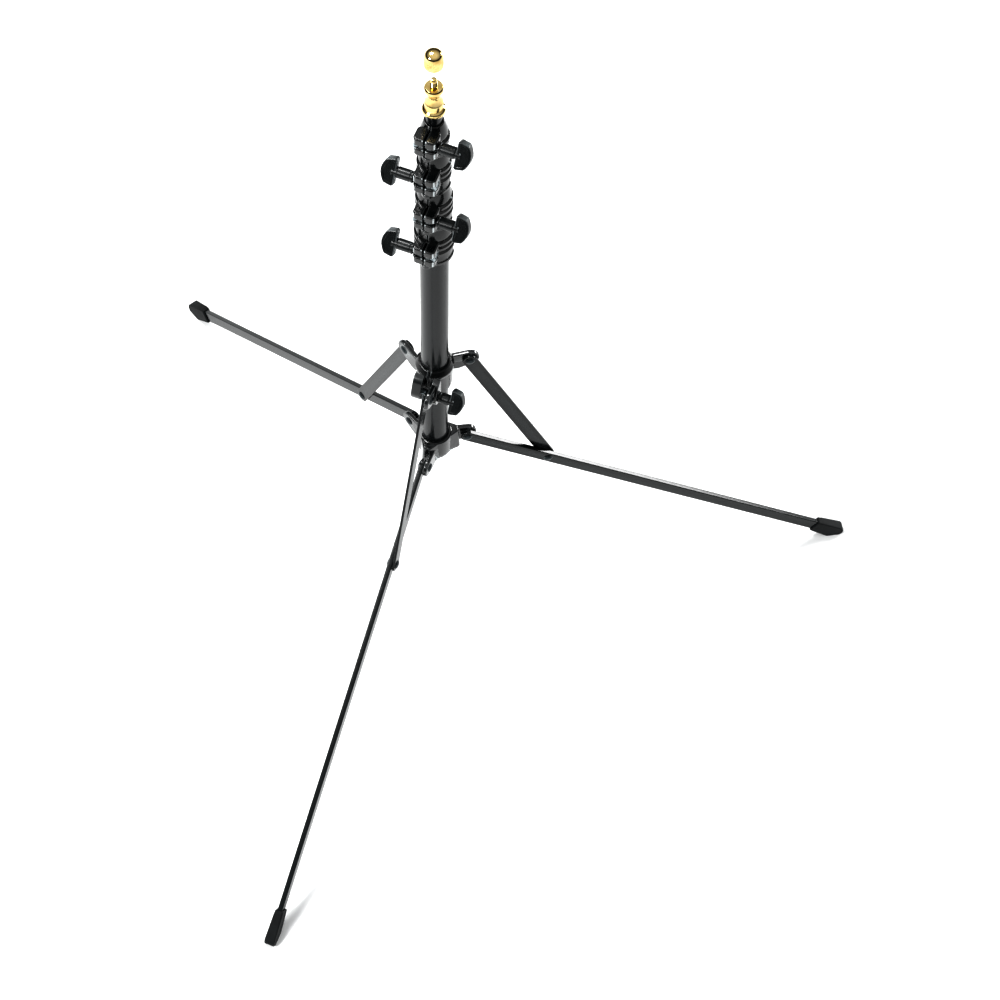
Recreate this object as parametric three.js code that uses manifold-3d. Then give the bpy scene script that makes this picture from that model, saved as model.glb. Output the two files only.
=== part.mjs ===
// Compact lighting stand: a five-section friction-clamp column on three folding legs.
// Millimetres, +Z up. The origin is on the floor, under the middle of the stand's footprint.

import * as THREE from 'three';
import { mergeVertices } from 'three/addons/utils/BufferGeometryUtils.js';
import Module from 'manifold-3d';

const wasm = await Module();
wasm.setup();

// ---------------------------------------------------------------- driving dimensions

const GAP = 0.3; // clearance left between pieces that touch

// Column: the base tube and four risers, each 3 mm smaller than the one it slides in.
const TUBE_RADII = [13, 11.5, 10, 8.5, 7];
const TUBE_WALL = 1.2;
const BASE_TUBE_BOTTOM = 290;
const RISER_TRAVEL = 290;
const RISER_OVERLAP = 57; // length that stays in the tube below at full height

// Clamp collars: one on the top end of every tube but the last.
const COLLAR_BOTTOM = 627;
const COLLAR_PITCH = 51;
const COLLAR_HEIGHTS = [49.5, 49.5, 49.5, 37];
const COLLAR_WALL = 4; // over the tube that carries the collar
const COLLAR_SOCKET = 20; // depth of the socket on that tube
const LUG_WIDTH = 10.5; // outer face of a lug, from the middle of the split
const LUG_REACH = 10.5; // beyond the collar's wall
const LUG_BOTTOM = 13; // above the collar's lower edge
const LUG_HEIGHT = 22;
const SPLIT_WIDTH = 1.5;
const LIP_REACH = 6; // of the pointed lip under the lugs, beyond the collar's wall
const SCREW_REACH = 3.5; // screw axis beyond the collar's wall
const KNOB_SIDES = [-1, 1, -1, 1]; // which way each knob points along X, from the lowest collar

// Clamp screws, nuts and knobs.
const SCREW_RADIUS = 2.9;
const NUT_ACROSS_FLATS = 10;
const NUT_THICKNESS = 4.5;
const KNOB_SHAFT_RADIUS = 5.3;
const KNOB_SHAFT_END = 27; // from the middle of the split to the paddle
const KNOB_PADDLE = { depth: 13.5, innerHalf: 13, outerHalf: 10, thickness: 9 };
const KNOB_TURN = THREE.MathUtils.degToRad(58); // the paddles' broad faces look forward and up at rest

// Spigot and its cap.
const SPIGOT_BOTTOM = 828.5;
const SPIGOT = { flange: 10, body: 8, waist: 5.6, stud: 3.1, shank: 5.4 };
const CAP_BOTTOM = 889; // the cap is shown unscrewed and lifted off
const CAP = { radius: 8, skirt: 12.7, dome: 5, bore: 3.5, boreDepth: 12 };

// Legs: thin channels on a hub at the foot of the column.
const LEG_AZIMUTHS = [30, 150, 270];
const LEG_PITCH = THREE.MathUtils.degToRad(36.14); // below the horizontal
const LEG_SECTION = { half: 2.5, depth: 13, wall: 1.2 };
const ROOT = { r: 32, z: 299.1 };
const LEG_LENGTH = 492; // from the root pivot to the end of the channel
const FOOT = { start: 470, end: 508, halfWidth: 5.5, halfDepth: 9.5, neckWidth: 4.3, neckDepth: 8 };

// Braces: flat strips from the sliding collar's ears to the legs.
const BRACE_PIVOT_ALONG = 101.5; // from the root pivot, along the leg
const BRACE = { inner: 3, outer: 5.5, half: 7 };
const EAR = { r: 34, z: 430 };
const PIN_RADIUS = 2.4;
const PIN_HEAD = { radius: 4.4, thickness: 1.5 };

// Sliding collar and bottom casting.
const SLIDER = { bottom: 404, top: 446, radius: 18.5, slope: THREE.MathUtils.degToRad(32) };
const SLIDER_LUG = { left: -12.7, gapLeft: -3.2, gapRight: 5.9, right: 12.9, reach: 30 };
const SLIDER_SCREW = { r: 22, z: 420 };
const SLIDER_KNOB_SHAFT_END = 25;
const EAR_PLATE = { inner: 5.9, outer: 10.4, radius: 9.5 };
const HUB = { bottom: 286, top: 316, radius: 18, foot: 9, cornerReach: 24.5, cornerHalf: 3.6 };
const HUB_PLATE = { inner: 3, outer: 7.5, radius: 9.5 };

// ---------------------------------------------------------------- materials

/** A plain material: colour, roughness and metalness. */
function finish(color, roughness, metalness) {
  return new THREE.MeshStandardMaterial({ color, roughness, metalness });
}

const blackAnodised = finish(0x1d2224, 0.35, 0.7);
const blackCasting = finish(0x14181a, 0.5, 0.1);
const paintedSteel = finish(0x23292a, 0.4, 0.5);
const knobPlastic = finish(0x1a2022, 0.45, 0.0);
const zincSteel = finish(0x8d9294, 0.35, 0.9);
const brass = finish(0xd8b45a, 0.22, 1.0);
const rubber = finish(0x101213, 0.8, 0.0);
const nylon = finish(0x2b2e30, 0.55, 0.0);

// ---------------------------------------------------------------- solids

/** Turns a closed three.js geometry into a manifold solid whose faces point outwards. */
function solid(geometry) {
  const bare = geometry.clone();
  bare.deleteAttribute('normal');
  bare.deleteAttribute('uv');
  const merged = mergeVertices(bare, 1e-4);
  const triangles = Uint32Array.from(merged.index.array);
  const build = () => new wasm.Manifold(new wasm.Mesh({
    numProp: 3,
    vertProperties: Float32Array.from(merged.attributes.position.array),
    triVerts: triangles,
  }));
  const first = build();
  if (first.volume() > 0) return first;
  for (let i = 0; i < triangles.length; i += 3) {
    [triangles[i], triangles[i + 1]] = [triangles[i + 1], triangles[i]];
  }
  return build();
}

/** A solid of revolution about Z from [radius, height] points that start and end on the axis or close. */
function turned(points, segments = 24) {
  const profile = points.map(([r, z]) => new THREE.Vector2(r, z));
  return solid(new THREE.LatheGeometry(profile, segments).rotateX(Math.PI / 2));
}

/** A disc or ring about Z: outer radius, bottom, top and an optional bore. */
function ring(outer, bottom, top, bore = 0, segments = 24) {
  const outline = [[bore, bottom], [outer, bottom], [outer, top], [bore, top]];
  return turned(bore > 0 ? [...outline, outline[0]] : outline, segments);
}

/** A box between two corners. */
function block([x0, y0, z0], [x1, y1, z1]) {
  const box = new THREE.BoxGeometry(x1 - x0, y1 - y0, z1 - z0);
  return solid(box.translate((x0 + x1) / 2, (y0 + y1) / 2, (z0 + z1) / 2));
}

/** A round bar along X at the given Y and Z. */
function barX(radius, x0, x1, y, z, segments = 12) {
  const bar = new THREE.CylinderGeometry(radius, radius, x1 - x0, segments);
  return solid(bar.rotateZ(-Math.PI / 2).translate((x0 + x1) / 2, y, z));
}

/** A round bar along Y at the given X and Z. */
function barY(radius, y0, y1, x, z, segments = 12) {
  const bar = new THREE.CylinderGeometry(radius, radius, y1 - y0, segments);
  return solid(bar.translate(x, (y0 + y1) / 2, z));
}

/** A plate in the XZ plane, drawn as a shape in (x, z), between two Y values. */
function plate(shape, y0, y1, curveSegments = 4) {
  const body = new THREE.ExtrudeGeometry(shape, { depth: y1 - y0, bevelEnabled: false, curveSegments });
  return solid(body.rotateX(Math.PI / 2).translate(0, y1, 0));
}

/** A prism on a closed polygon in (x, y), between two heights. */
function upright(points, bottom, top) {
  const shape = new THREE.Shape(points.map(([x, y]) => new THREE.Vector2(x, y)));
  const body = new THREE.ExtrudeGeometry(shape, { depth: top - bottom, bevelEnabled: false });
  return solid(body.translate(0, 0, bottom));
}

/** A bar's outline with a round end at both points, in (x, z). */
function linkShape(from, to, halfWidth) {
  const direction = Math.atan2(to.z - from.z, to.r - from.r);
  const shape = new THREE.Shape();
  shape.absarc(from.r, from.z, halfWidth, direction + Math.PI / 2, direction + 1.5 * Math.PI, false);
  shape.absarc(to.r, to.z, halfWidth, direction - Math.PI / 2, direction + Math.PI / 2, false);
  shape.closePath();
  return shape;
}

/** A closed polygon in (x, z). */
const polygon = (points) => new THREE.Shape(points.map(([x, z]) => new THREE.Vector2(x, z)));

/** Adds solids into one. */
const join = (...parts) => parts.reduce((whole, part) => whole.add(part));

/** Cuts solids out of the first one. */
const cut = (body, ...tools) => tools.reduce((rest, tool) => rest.subtract(tool), body);

/** Adds a named mesh of a solid to a group. */
function place(group, name, body, material) {
  const { vertProperties, triVerts } = body.getMesh();
  const geometry = new THREE.BufferGeometry();
  geometry.setAttribute('position', new THREE.BufferAttribute(vertProperties, 3));
  geometry.setIndex(new THREE.BufferAttribute(triVerts, 1));
  geometry.computeVertexNormals();
  const mesh = new THREE.Mesh(geometry, material);
  mesh.name = name;
  group.add(mesh);
  return mesh;
}

// ---------------------------------------------------------------- column tubes

const collarBottom = (i) => COLLAR_BOTTOM + COLLAR_PITCH * i;
const tubeTop = (i) => (i < 4 ? collarBottom(i) + COLLAR_SOCKET : SPIGOT_BOTTOM - GAP);
const tubeBottom = (i) => (i === 0 ? BASE_TUBE_BOTTOM : tubeTop(i - 1) - RISER_OVERLAP - RISER_TRAVEL);

function addTubes(group) {
  TUBE_RADII.forEach((radius, i) => {
    const name = i === 0 ? 'base_tube' : `riser_tube_${i}`;
    place(group, name, ring(radius, tubeBottom(i), tubeTop(i), radius - TUBE_WALL), blackAnodised);
  });
}

/** Nylon ring pushed into the lower end of a riser, which keeps it centred in the tube below. */
function addGuideRings(group) {
  for (let i = 1; i < TUBE_RADII.length; i += 1) {
    const end = tubeBottom(i);
    const bore = TUBE_RADII[i] - TUBE_WALL - 2.5;
    const collar = ring(TUBE_RADII[i] - 0.1, end - 2.5, end - GAP, bore);
    const spout = ring(TUBE_RADII[i] - TUBE_WALL - GAP, end - GAP - 0.1, end + 8, bore);
    place(group, `riser_guide_${i}`, join(collar, spout), nylon);
  }
}

// ---------------------------------------------------------------- clamp collars

/** Split collar: a socket on the tube below, two ribs, and two lugs that the screw pulls together. */
function collarBody(i) {
  const bottom = collarBottom(i);
  const top = bottom + COLLAR_HEIGHTS[i];
  const wall = TUBE_RADII[i] + COLLAR_WALL;
  const socket = TUBE_RADII[i] + GAP;
  const grip = TUBE_RADII[i + 1] + 0.35;
  const shoulder = bottom + COLLAR_SOCKET + GAP;
  const lugBottom = bottom + LUG_BOTTOM;
  const lugTop = lugBottom + LUG_HEIGHT;
  const cone = i < 3 ? top - 9 : top - 12;
  const ribStarts = [lugBottom + 1.5, lugBottom + 13].filter((z) => z + 9 < cone);
  const ribs = ribStarts.flatMap((z) => [
    [wall, z], [wall + 0.9, z + 0.9], [wall + 0.9, z + 8.1], [wall, z + 9],
  ]);
  const sleeve = turned([
    [socket, bottom], [wall - 0.8, bottom], [wall, bottom + 0.8], ...ribs,
    [wall, cone], [i < 3 ? wall - 2.6 : grip + 1.4, top],
    [grip, top], [grip, shoulder], [socket, shoulder], [socket, bottom],
  ]);
  const lip = cut(
    upright([[-wall + 1, -6], [0, -wall - LIP_REACH], [wall - 1, -6]], bottom + 0.6, bottom + 5.4),
    ring(socket + 1, bottom - 1, bottom + 7),
  );
  const front = -(wall + LUG_REACH);
  const inner = -(grip + 1);
  const groove = lugBottom + LUG_HEIGHT / 2;
  const lugs = cut(
    block([-LUG_WIDTH, front, lugBottom], [LUG_WIDTH, inner, lugTop]),
    block([-LUG_WIDTH - 1, front - 1, groove - 0.8], [LUG_WIDTH + 1, front + 1.2, groove + 0.8]),
  );
  const screwY = -(wall + SCREW_REACH);
  const side = KNOB_SIDES[i];
  const hollowLugs = cut(
    lugs,
    ring(grip, lugBottom - 1, lugTop + 1),
    ring(socket, lugBottom - 1, shoulder),
  );
  return cut(
    join(sleeve, lip, hollowLugs),
    block([-SPLIT_WIDTH / 2, front - 1, lugBottom - 2], [SPLIT_WIDTH / 2, -grip + 2, top + 1]),
    barX(SCREW_RADIUS + 0.4, -LUG_WIDTH - 1, LUG_WIDTH + 1, screwY, groove),
    nutSolid(side, screwY, groove, NUT_ACROSS_FLATS + 0.8, NUT_THICKNESS + GAP, LUG_WIDTH + 1),
  );
}

/** Hexagonal nut or nut pocket on the side away from the knob, its outer face at the given distance. */
function nutSolid(side, y, z, acrossFlats, thickness, outerFace, bore = 0) {
  const corner = acrossFlats / Math.sqrt(3);
  const inner = LUG_WIDTH - thickness;
  const [x0, x1] = side > 0 ? [-outerFace, -inner] : [inner, outerFace];
  const hexagon = barX(corner, x0, x1, y, z, 6);
  return bore > 0 ? cut(hexagon, barX(bore, x0 - 1, x1 + 1, y, z)) : hexagon;
}

/** Paddle knob: a round shaft and a flat, tapering paddle with a domed end, along +X before it is turned. */
function knobSolid(shaftStart, shaftEnd) {
  const { depth, innerHalf, outerHalf, thickness } = KNOB_PADDLE;
  const end = shaftEnd + depth;
  const outline = new THREE.Shape();
  outline.moveTo(shaftEnd, innerHalf - 1.5);
  outline.lineTo(shaftEnd, -innerHalf + 1.5);
  outline.lineTo(shaftEnd + 1.5, -innerHalf);
  outline.lineTo(end - 4.5, -outerHalf - 1.4);
  outline.quadraticCurveTo(end - 0.5, -outerHalf + 1, end, 0);
  outline.quadraticCurveTo(end - 0.5, outerHalf - 1, end - 4.5, outerHalf + 1.4);
  outline.lineTo(shaftEnd + 1.5, innerHalf);
  const extrusion = { depth: thickness, bevelEnabled: false, curveSegments: 5 };
  const paddle = new THREE.ExtrudeGeometry(outline, extrusion);
  paddle.translate(0, 0, -thickness / 2);
  const shaft = barX(KNOB_SHAFT_RADIUS, shaftStart, shaftEnd + 4, 0, 0, 16);
  const bore = barX(SCREW_RADIUS + GAP, shaftStart - 1, shaftStart + 9, 0, 0);
  return cut(join(solid(paddle), shaft), bore);
}

/** Places a knob and its screw on an axis along X at the given Y and Z, pointing to one side. */
function addKnobAndScrew(group, names, side, y, z, shaftStart, shaftEnd, screwEnd) {
  const holder = new THREE.Group();
  holder.position.set(0, y, z);
  holder.rotation.set(KNOB_TURN, 0, side > 0 ? 0 : Math.PI);
  place(holder, names.knob, knobSolid(shaftStart, shaftEnd), knobPlastic);
  place(holder, names.screw, barX(SCREW_RADIUS, screwEnd, shaftStart + 8.5, 0, 0), zincSteel);
  group.add(holder);
}

function addCollars(group) {
  KNOB_SIDES.forEach((side, i) => {
    const n = i + 1;
    const y = -(TUBE_RADII[i] + COLLAR_WALL + SCREW_REACH);
    const z = collarBottom(i) + LUG_BOTTOM + LUG_HEIGHT / 2;
    place(group, `clamp_collar_${n}`, collarBody(i), blackCasting);
    const nut = nutSolid(side, y, z, NUT_ACROSS_FLATS, NUT_THICKNESS, LUG_WIDTH - GAP, SCREW_RADIUS + GAP);
    place(group, `clamp_nut_${n}`, nut, zincSteel);
    const names = { knob: `clamp_knob_${n}`, screw: `clamp_screw_${n}` };
    addKnobAndScrew(group, names, side, y, z, LUG_WIDTH + GAP, KNOB_SHAFT_END, -LUG_WIDTH + 0.5);
  });
}

// ---------------------------------------------------------------- spigot and cap

function addSpigot(group) {
  const z = SPIGOT_BOTTOM;
  const { flange, body, waist, stud, shank } = SPIGOT;
  const spigot = turned([
    [0, z - 25], [shank, z - 25], [shank, z], [flange - 2.2, z], [flange, z + 2.4], [flange, z + 5],
    [flange - 1.2, z + 6.2], [body, z + 6.6], [body, z + 13.5], [body - 1, z + 14.8], [waist, z + 19.5],
    [waist, z + 23], [body - 0.6, z + 28.4], [body, z + 29.2], [body, z + 32.6], [body - 0.8, z + 33.5],
    [stud, z + 33.5], [stud, z + 42], [stud - 0.7, z + 43], [0, z + 43],
  ]);
  place(group, 'spigot', spigot, brass);
}

function addCap(group) {
  const { radius, skirt, dome, bore, boreDepth } = CAP;
  const z = CAP_BOTTOM;
  const arc = [15, 35, 55, 75].map((degrees) => {
    const a = THREE.MathUtils.degToRad(degrees);
    return [(radius - 0.5) * Math.cos(a), z + skirt + dome * Math.sin(a)];
  });
  const cap = turned([
    [0, z + boreDepth], [bore, z + boreDepth - 1.5], [bore, z], [radius - 0.5, z], [radius, z + 0.6],
    [radius, z + skirt - 0.5], [radius - 0.5, z + skirt], ...arc, [0, z + skirt + dome],
  ]);
  place(group, 'spigot_cap', cap, brass);
}

// ---------------------------------------------------------------- bottom casting

/** Turns a solid about Z by a leg's azimuth. */
const atLeg = (body, azimuth) => body.rotate([0, 0, azimuth]);

/** Ear plate from the column's centre to a pivot, with a pin hole, in a leg's own plane. */
function earPlate(pivot, { inner, outer, radius }, root) {
  const arm = plate(linkShape(root, pivot, radius), inner, outer);
  return cut(arm, barY(PIN_RADIUS + GAP, inner - 1, outer + 1, pivot.r, pivot.z));
}

function addBottomCasting(group) {
  const { bottom, top, radius, foot } = HUB;
  const corners = LEG_AZIMUTHS.flatMap((azimuth) => [-1, 1].map((side) => {
    const a = THREE.MathUtils.degToRad(azimuth);
    const [across, out] = [side * HUB.cornerHalf, HUB.cornerReach];
    return [out * Math.cos(a) - across * Math.sin(a), out * Math.sin(a) + across * Math.cos(a)];
  }));
  const prism = upright(corners, bottom, top);
  const hub = join(prism, ring(radius - 1.5, bottom, top));
  const ears = LEG_AZIMUTHS.map((azimuth) => atLeg(earPlate(ROOT, HUB_PLATE, { r: 8, z: ROOT.z }), azimuth));
  const bore = ring(TUBE_RADII[0] + GAP, BASE_TUBE_BOTTOM - GAP, top + 1);
  const scallops = LEG_AZIMUTHS.map((azimuth) => atLeg(barY(8, -60, 60, 0, 0), azimuth + 60));
  const notches = scallops.map((tool) => tool.translate([0, 0, bottom - 4.5]));
  const through = ring(foot, bottom - 1, BASE_TUBE_BOTTOM);
  place(group, 'bottom_casting', cut(join(hub, ...ears), bore, through, ...notches), blackCasting);
  const plug = join(
    ring(TUBE_RADII[0] - TUBE_WALL - GAP, BASE_TUBE_BOTTOM + GAP, BASE_TUBE_BOTTOM + 6),
    ring(foot - GAP, BASE_TUBE_BOTTOM - 2.5, BASE_TUBE_BOTTOM + 1),
  );
  place(group, 'column_plug', plug, nylon);
}

// ---------------------------------------------------------------- sliding collar

function addSlidingCollar(group) {
  const { bottom, top, radius } = SLIDER;
  const { left, gapLeft, gapRight, right, reach } = SLIDER_LUG;
  const sleeve = turned([
    [0, bottom], [radius - 1.5, bottom], [radius, bottom + 1.5],
    [radius, top - 5], [radius - 3, top], [0, top],
  ]);
  const ears = LEG_AZIMUTHS.map((azimuth) => atLeg(earPlate(EAR, EAR_PLATE, { r: 6, z: EAR.z }), azimuth));
  const lug = linkShape({ r: 8, z: 430 }, { r: reach - 11, z: SLIDER_SCREW.z }, 11);
  const leftLug = plate(lug, left, gapLeft).rotate([0, 0, -90]);
  const rightLug = plate(lug, gapRight, right).rotate([0, 0, -90]);
  const screw = (clearance) => (
    barX(SCREW_RADIUS + clearance, left - 1, right + 1, -SLIDER_SCREW.r, SLIDER_SCREW.z)
  );
  const split = block([gapLeft, -60, bottom - 1], [gapRight, -radius + 1.5, top + 1]);
  const slot = block([-0.9, -60, bottom - 1], [2.1, -TUBE_RADII[0] + 2, top + 1]);
  const bore = ring(TUBE_RADII[0] + 0.4, bottom - 1, top + 1);
  const pocket = nutPocket(left, NUT_ACROSS_FLATS + 0.8, NUT_THICKNESS + GAP, 1);
  const under = new THREE.BoxGeometry(120, 120, 60).translate(0, 0, -30).rotateX(SLIDER.slope);
  const slope = solid(under.translate(0, -radius - 1, bottom));
  const skirt = cut(sleeve, slope);
  const collar = cut(join(skirt, ...ears, leftLug, rightLug), bore, split, slot, screw(0.4), pocket);
  place(group, 'sliding_collar', collar, blackCasting);
  const nut = nutPocket(left, NUT_ACROSS_FLATS, NUT_THICKNESS, -GAP);
  const bored = cut(nut, screw(GAP));
  place(group, 'sliding_collar_nut', bored, zincSteel);
  const names = { knob: 'sliding_collar_knob', screw: 'sliding_collar_screw' };
  const { r, z } = SLIDER_SCREW;
  addKnobAndScrew(group, names, 1, -r, z, right + GAP, SLIDER_KNOB_SHAFT_END, left + 0.8);
}

/** Hexagon let into the sliding collar's left lug, standing out of its face by the given amount. */
function nutPocket(face, acrossFlats, thickness, proud) {
  return barX(acrossFlats / Math.sqrt(3), face - proud, face + thickness, -SLIDER_SCREW.r, SLIDER_SCREW.z, 6);
}

// ---------------------------------------------------------------- legs and braces

/** Point at a distance along a leg from its root pivot, and off its centreline, in the leg's plane. */
function alongLeg(distance, off = 0) {
  return {
    r: ROOT.r + distance * Math.cos(LEG_PITCH) + off * Math.sin(LEG_PITCH),
    z: ROOT.z - distance * Math.sin(LEG_PITCH) + off * Math.cos(LEG_PITCH),
  };
}

/** Outline of a strip along a leg between two distances and two offsets. */
function legStrip(start, end, low, high) {
  const corners = [[start, low], [end, low], [end, high], [start, high]];
  return polygon(corners.map(([s, u]) => alongLeg(s, u)).map(({ r, z }) => [r, z]));
}

const bracePivot = alongLeg(BRACE_PIVOT_ALONG);

/** Leg: a channel, closed above and open below, with a round end at the root. */
function legSolid() {
  const { half, depth, wall } = LEG_SECTION;
  const outer = join(
    plate(legStrip(0, LEG_LENGTH, -depth / 2, depth / 2), -half, half),
    barY(depth / 2, -half, half, ROOT.r, ROOT.z, 18),
  );
  const trough = plate(legStrip(-depth, LEG_LENGTH + 1, -depth, depth / 2 - wall), -half + wall, half - wall);
  const holes = [ROOT, bracePivot].map(({ r, z }) => barY(PIN_RADIUS + GAP, -half - 1, half + 1, r, z));
  return cut(outer, trough, ...holes);
}

/** Foot: a rubber boot that widens towards the floor, with a flat sole and a socket for the channel. */
function footSolid() {
  const { start, end, halfWidth, halfDepth, neckWidth, neckDepth } = FOOT;
  const { half, depth } = LEG_SECTION;
  const side = polygon([
    [start, -neckDepth], [end - 9, -halfDepth], [end, -halfDepth], [end, halfDepth - 5],
    [end - 6, halfDepth], [start + 6, neckDepth + 0.6], [start, neckDepth],
  ].map(([s, u]) => alongLeg(s, u)).map(({ r, z }) => [r, z]));
  const socket = plate(legStrip(start - 1, LEG_LENGTH + GAP, -depth / 2 - GAP, depth / 2 + GAP),
    -half - GAP, half + GAP);
  const slopes = [1, -1].map((sign) => {
    const taper = Math.atan2(halfWidth - neckWidth, 18);
    const wedge = new THREE.BoxGeometry(80, 20, 80).translate(0, 10, 0).rotateZ(taper);
    const near = alongLeg(start);
    wedge.rotateY(LEG_PITCH).translate(near.r, neckWidth, near.z);
    return sign > 0 ? solid(wedge) : solid(wedge).mirror([0, 1, 0]);
  });
  const floor = block([0, -50, -50], [600, 50, 0]);
  return cut(plate(side, -halfWidth, halfWidth), socket, floor, ...slopes);
}

/** Brace: a flat strip with round ends, beside the leg. */
function braceSolid() {
  const { inner, outer, half } = BRACE;
  const strip = plate(linkShape(EAR, bracePivot, half), inner, outer);
  const holes = [EAR, bracePivot].map(({ r, z }) => barY(PIN_RADIUS + GAP, inner - 1, outer + 1, r, z));
  return cut(strip, ...holes);
}

/** Headed pin along Y between two faces, with a head outside each face that asks for one. */
function pinSolid({ r, z }, from, to, heads) {
  const { radius, thickness } = PIN_HEAD;
  const parts = [barY(PIN_RADIUS, from, to, r, z)];
  if (heads.from) parts.push(barY(radius, from - thickness, from, r, z));
  if (heads.to) parts.push(barY(radius, to, to + thickness, r, z));
  return join(...parts);
}

function addLegs(group) {
  const { half } = LEG_SECTION;
  LEG_AZIMUTHS.forEach((azimuth, i) => {
    const n = i + 1;
    const side = new THREE.Group();
    side.rotation.z = THREE.MathUtils.degToRad(azimuth);
    place(side, `leg_${n}`, legSolid(), paintedSteel);
    place(side, `foot_${n}`, footSolid(), rubber);
    place(side, `brace_${n}`, braceSolid(), paintedSteel);
    const both = { from: true, to: true };
    const rootPin = pinSolid(ROOT, -half - GAP, HUB_PLATE.outer + GAP, both);
    const earPin = pinSolid(EAR, BRACE.inner - GAP, EAR_PLATE.outer + GAP, both);
    const legRivet = pinSolid(bracePivot, -half - GAP, half, { from: true, to: false });
    const braceRivet = pinSolid(bracePivot, BRACE.inner + 0.1, BRACE.outer + GAP, { from: false, to: true });
    place(side, `leg_root_pin_${n}`, rootPin, zincSteel);
    place(side, `brace_ear_pin_${n}`, earPin, zincSteel);
    place(side, `leg_rivet_${n}`, legRivet, zincSteel);
    place(side, `brace_rivet_${n}`, braceRivet, zincSteel);
    group.add(side);
  });
}

// ---------------------------------------------------------------- stand

const stand = new THREE.Group();
addTubes(stand);
addGuideRings(stand);
addCollars(stand);
addSpigot(stand);
addCap(stand);
addBottomCasting(stand);
addSlidingCollar(stand);
addLegs(stand);

// The footprint's middle goes over the origin; the column then stands behind it.
const footprint = new THREE.Box3().setFromObject(stand, true);
stand.position.y = -(footprint.min.y + footprint.max.y) / 2;

export default stand;
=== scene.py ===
"""Finished look of a compact folding lighting stand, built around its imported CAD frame.

Sizes are in millimetres, measured from the column's axis and up from the floor, and become metres when a
piece is placed. Each sub-assembly is a class with its own sizes, which models its pieces and dresses them
in a finish.
"""

import logging
import math
from dataclasses import dataclass, field
from enum import Enum

import bmesh
import bpy
from mathutils import Matrix, Vector


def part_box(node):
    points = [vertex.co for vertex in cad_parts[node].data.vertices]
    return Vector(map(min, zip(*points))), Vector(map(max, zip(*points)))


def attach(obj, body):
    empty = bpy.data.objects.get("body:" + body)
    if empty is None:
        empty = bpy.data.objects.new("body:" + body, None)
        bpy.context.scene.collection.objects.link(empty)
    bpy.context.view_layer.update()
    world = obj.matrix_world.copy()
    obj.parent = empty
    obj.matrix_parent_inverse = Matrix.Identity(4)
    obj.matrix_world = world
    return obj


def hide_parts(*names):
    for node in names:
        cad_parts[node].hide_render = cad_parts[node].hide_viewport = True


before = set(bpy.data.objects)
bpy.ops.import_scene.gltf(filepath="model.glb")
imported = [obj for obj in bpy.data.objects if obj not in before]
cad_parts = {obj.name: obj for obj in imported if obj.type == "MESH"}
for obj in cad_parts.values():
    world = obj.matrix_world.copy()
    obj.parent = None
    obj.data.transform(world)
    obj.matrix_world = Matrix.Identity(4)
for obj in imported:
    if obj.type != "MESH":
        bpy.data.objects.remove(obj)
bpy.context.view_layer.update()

log = logging.getLogger("lighting_stand")
MM = 0.001
GAP = 0.3  # between two pieces that meet, in millimetres
CREASE_ANGLE = 38.0  # faces that meet at more than this many degrees keep a sharp edge
EDGE_HIGHLIGHT_POINTINESS = (0.535, 0.63)  # pointiness at which the painted highlight on a corner starts and is full
NUT_FLATS = 10.0
NUT_THICKNESS = 4.5
NUT_POCKET_FLATS = 10.8
Outline = list[tuple[float, float]]
Colour = tuple[float, float, float, float]


# ------------------------------------------------------------------ finishes


def linear(hex_colour: str) -> Colour:
    """Turns an sRGB colour into linear light.

    Args:
        hex_colour: Six hexadecimal digits, such as "1d2224".

    Returns:
        Red, green, blue and an alpha of 1.
    """
    channels = [int(hex_colour[i:i + 2], 16) / 255 for i in (0, 2, 4)]
    light = [c / 12.92 if c <= 0.04045 else ((c + 0.055) / 1.055) ** 2.4 for c in channels]
    return (light[0], light[1], light[2], 1.0)


def add_node(
    tree: bpy.types.NodeTree, kind: str, links: dict | None = None, **settings: object,
) -> bpy.types.Node:
    """Adds a shader node with its settings and links.

    Args:
        tree: The node tree that takes the node.
        kind: The node's type name.
        links: For each input, a socket to link from or a value to set.
        settings: Properties of the node itself.

    Returns:
        The new node.
    """
    node = tree.nodes.new(kind)
    for name, value in settings.items():
        setattr(node, name, value)
    for name, source in (links or {}).items():
        if isinstance(source, bpy.types.NodeSocket):
            tree.links.new(source, node.inputs[name])
        else:
            node.inputs[name].default_value = source
    return node


class Pattern(Enum):
    """How a surface's fine pattern lies."""

    EVEN = "even grain in every direction"
    DRAWN = "fine lines along the column"
    TURNED = "fine rings round the column"
    PEBBLED = "small raised cells"


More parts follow.
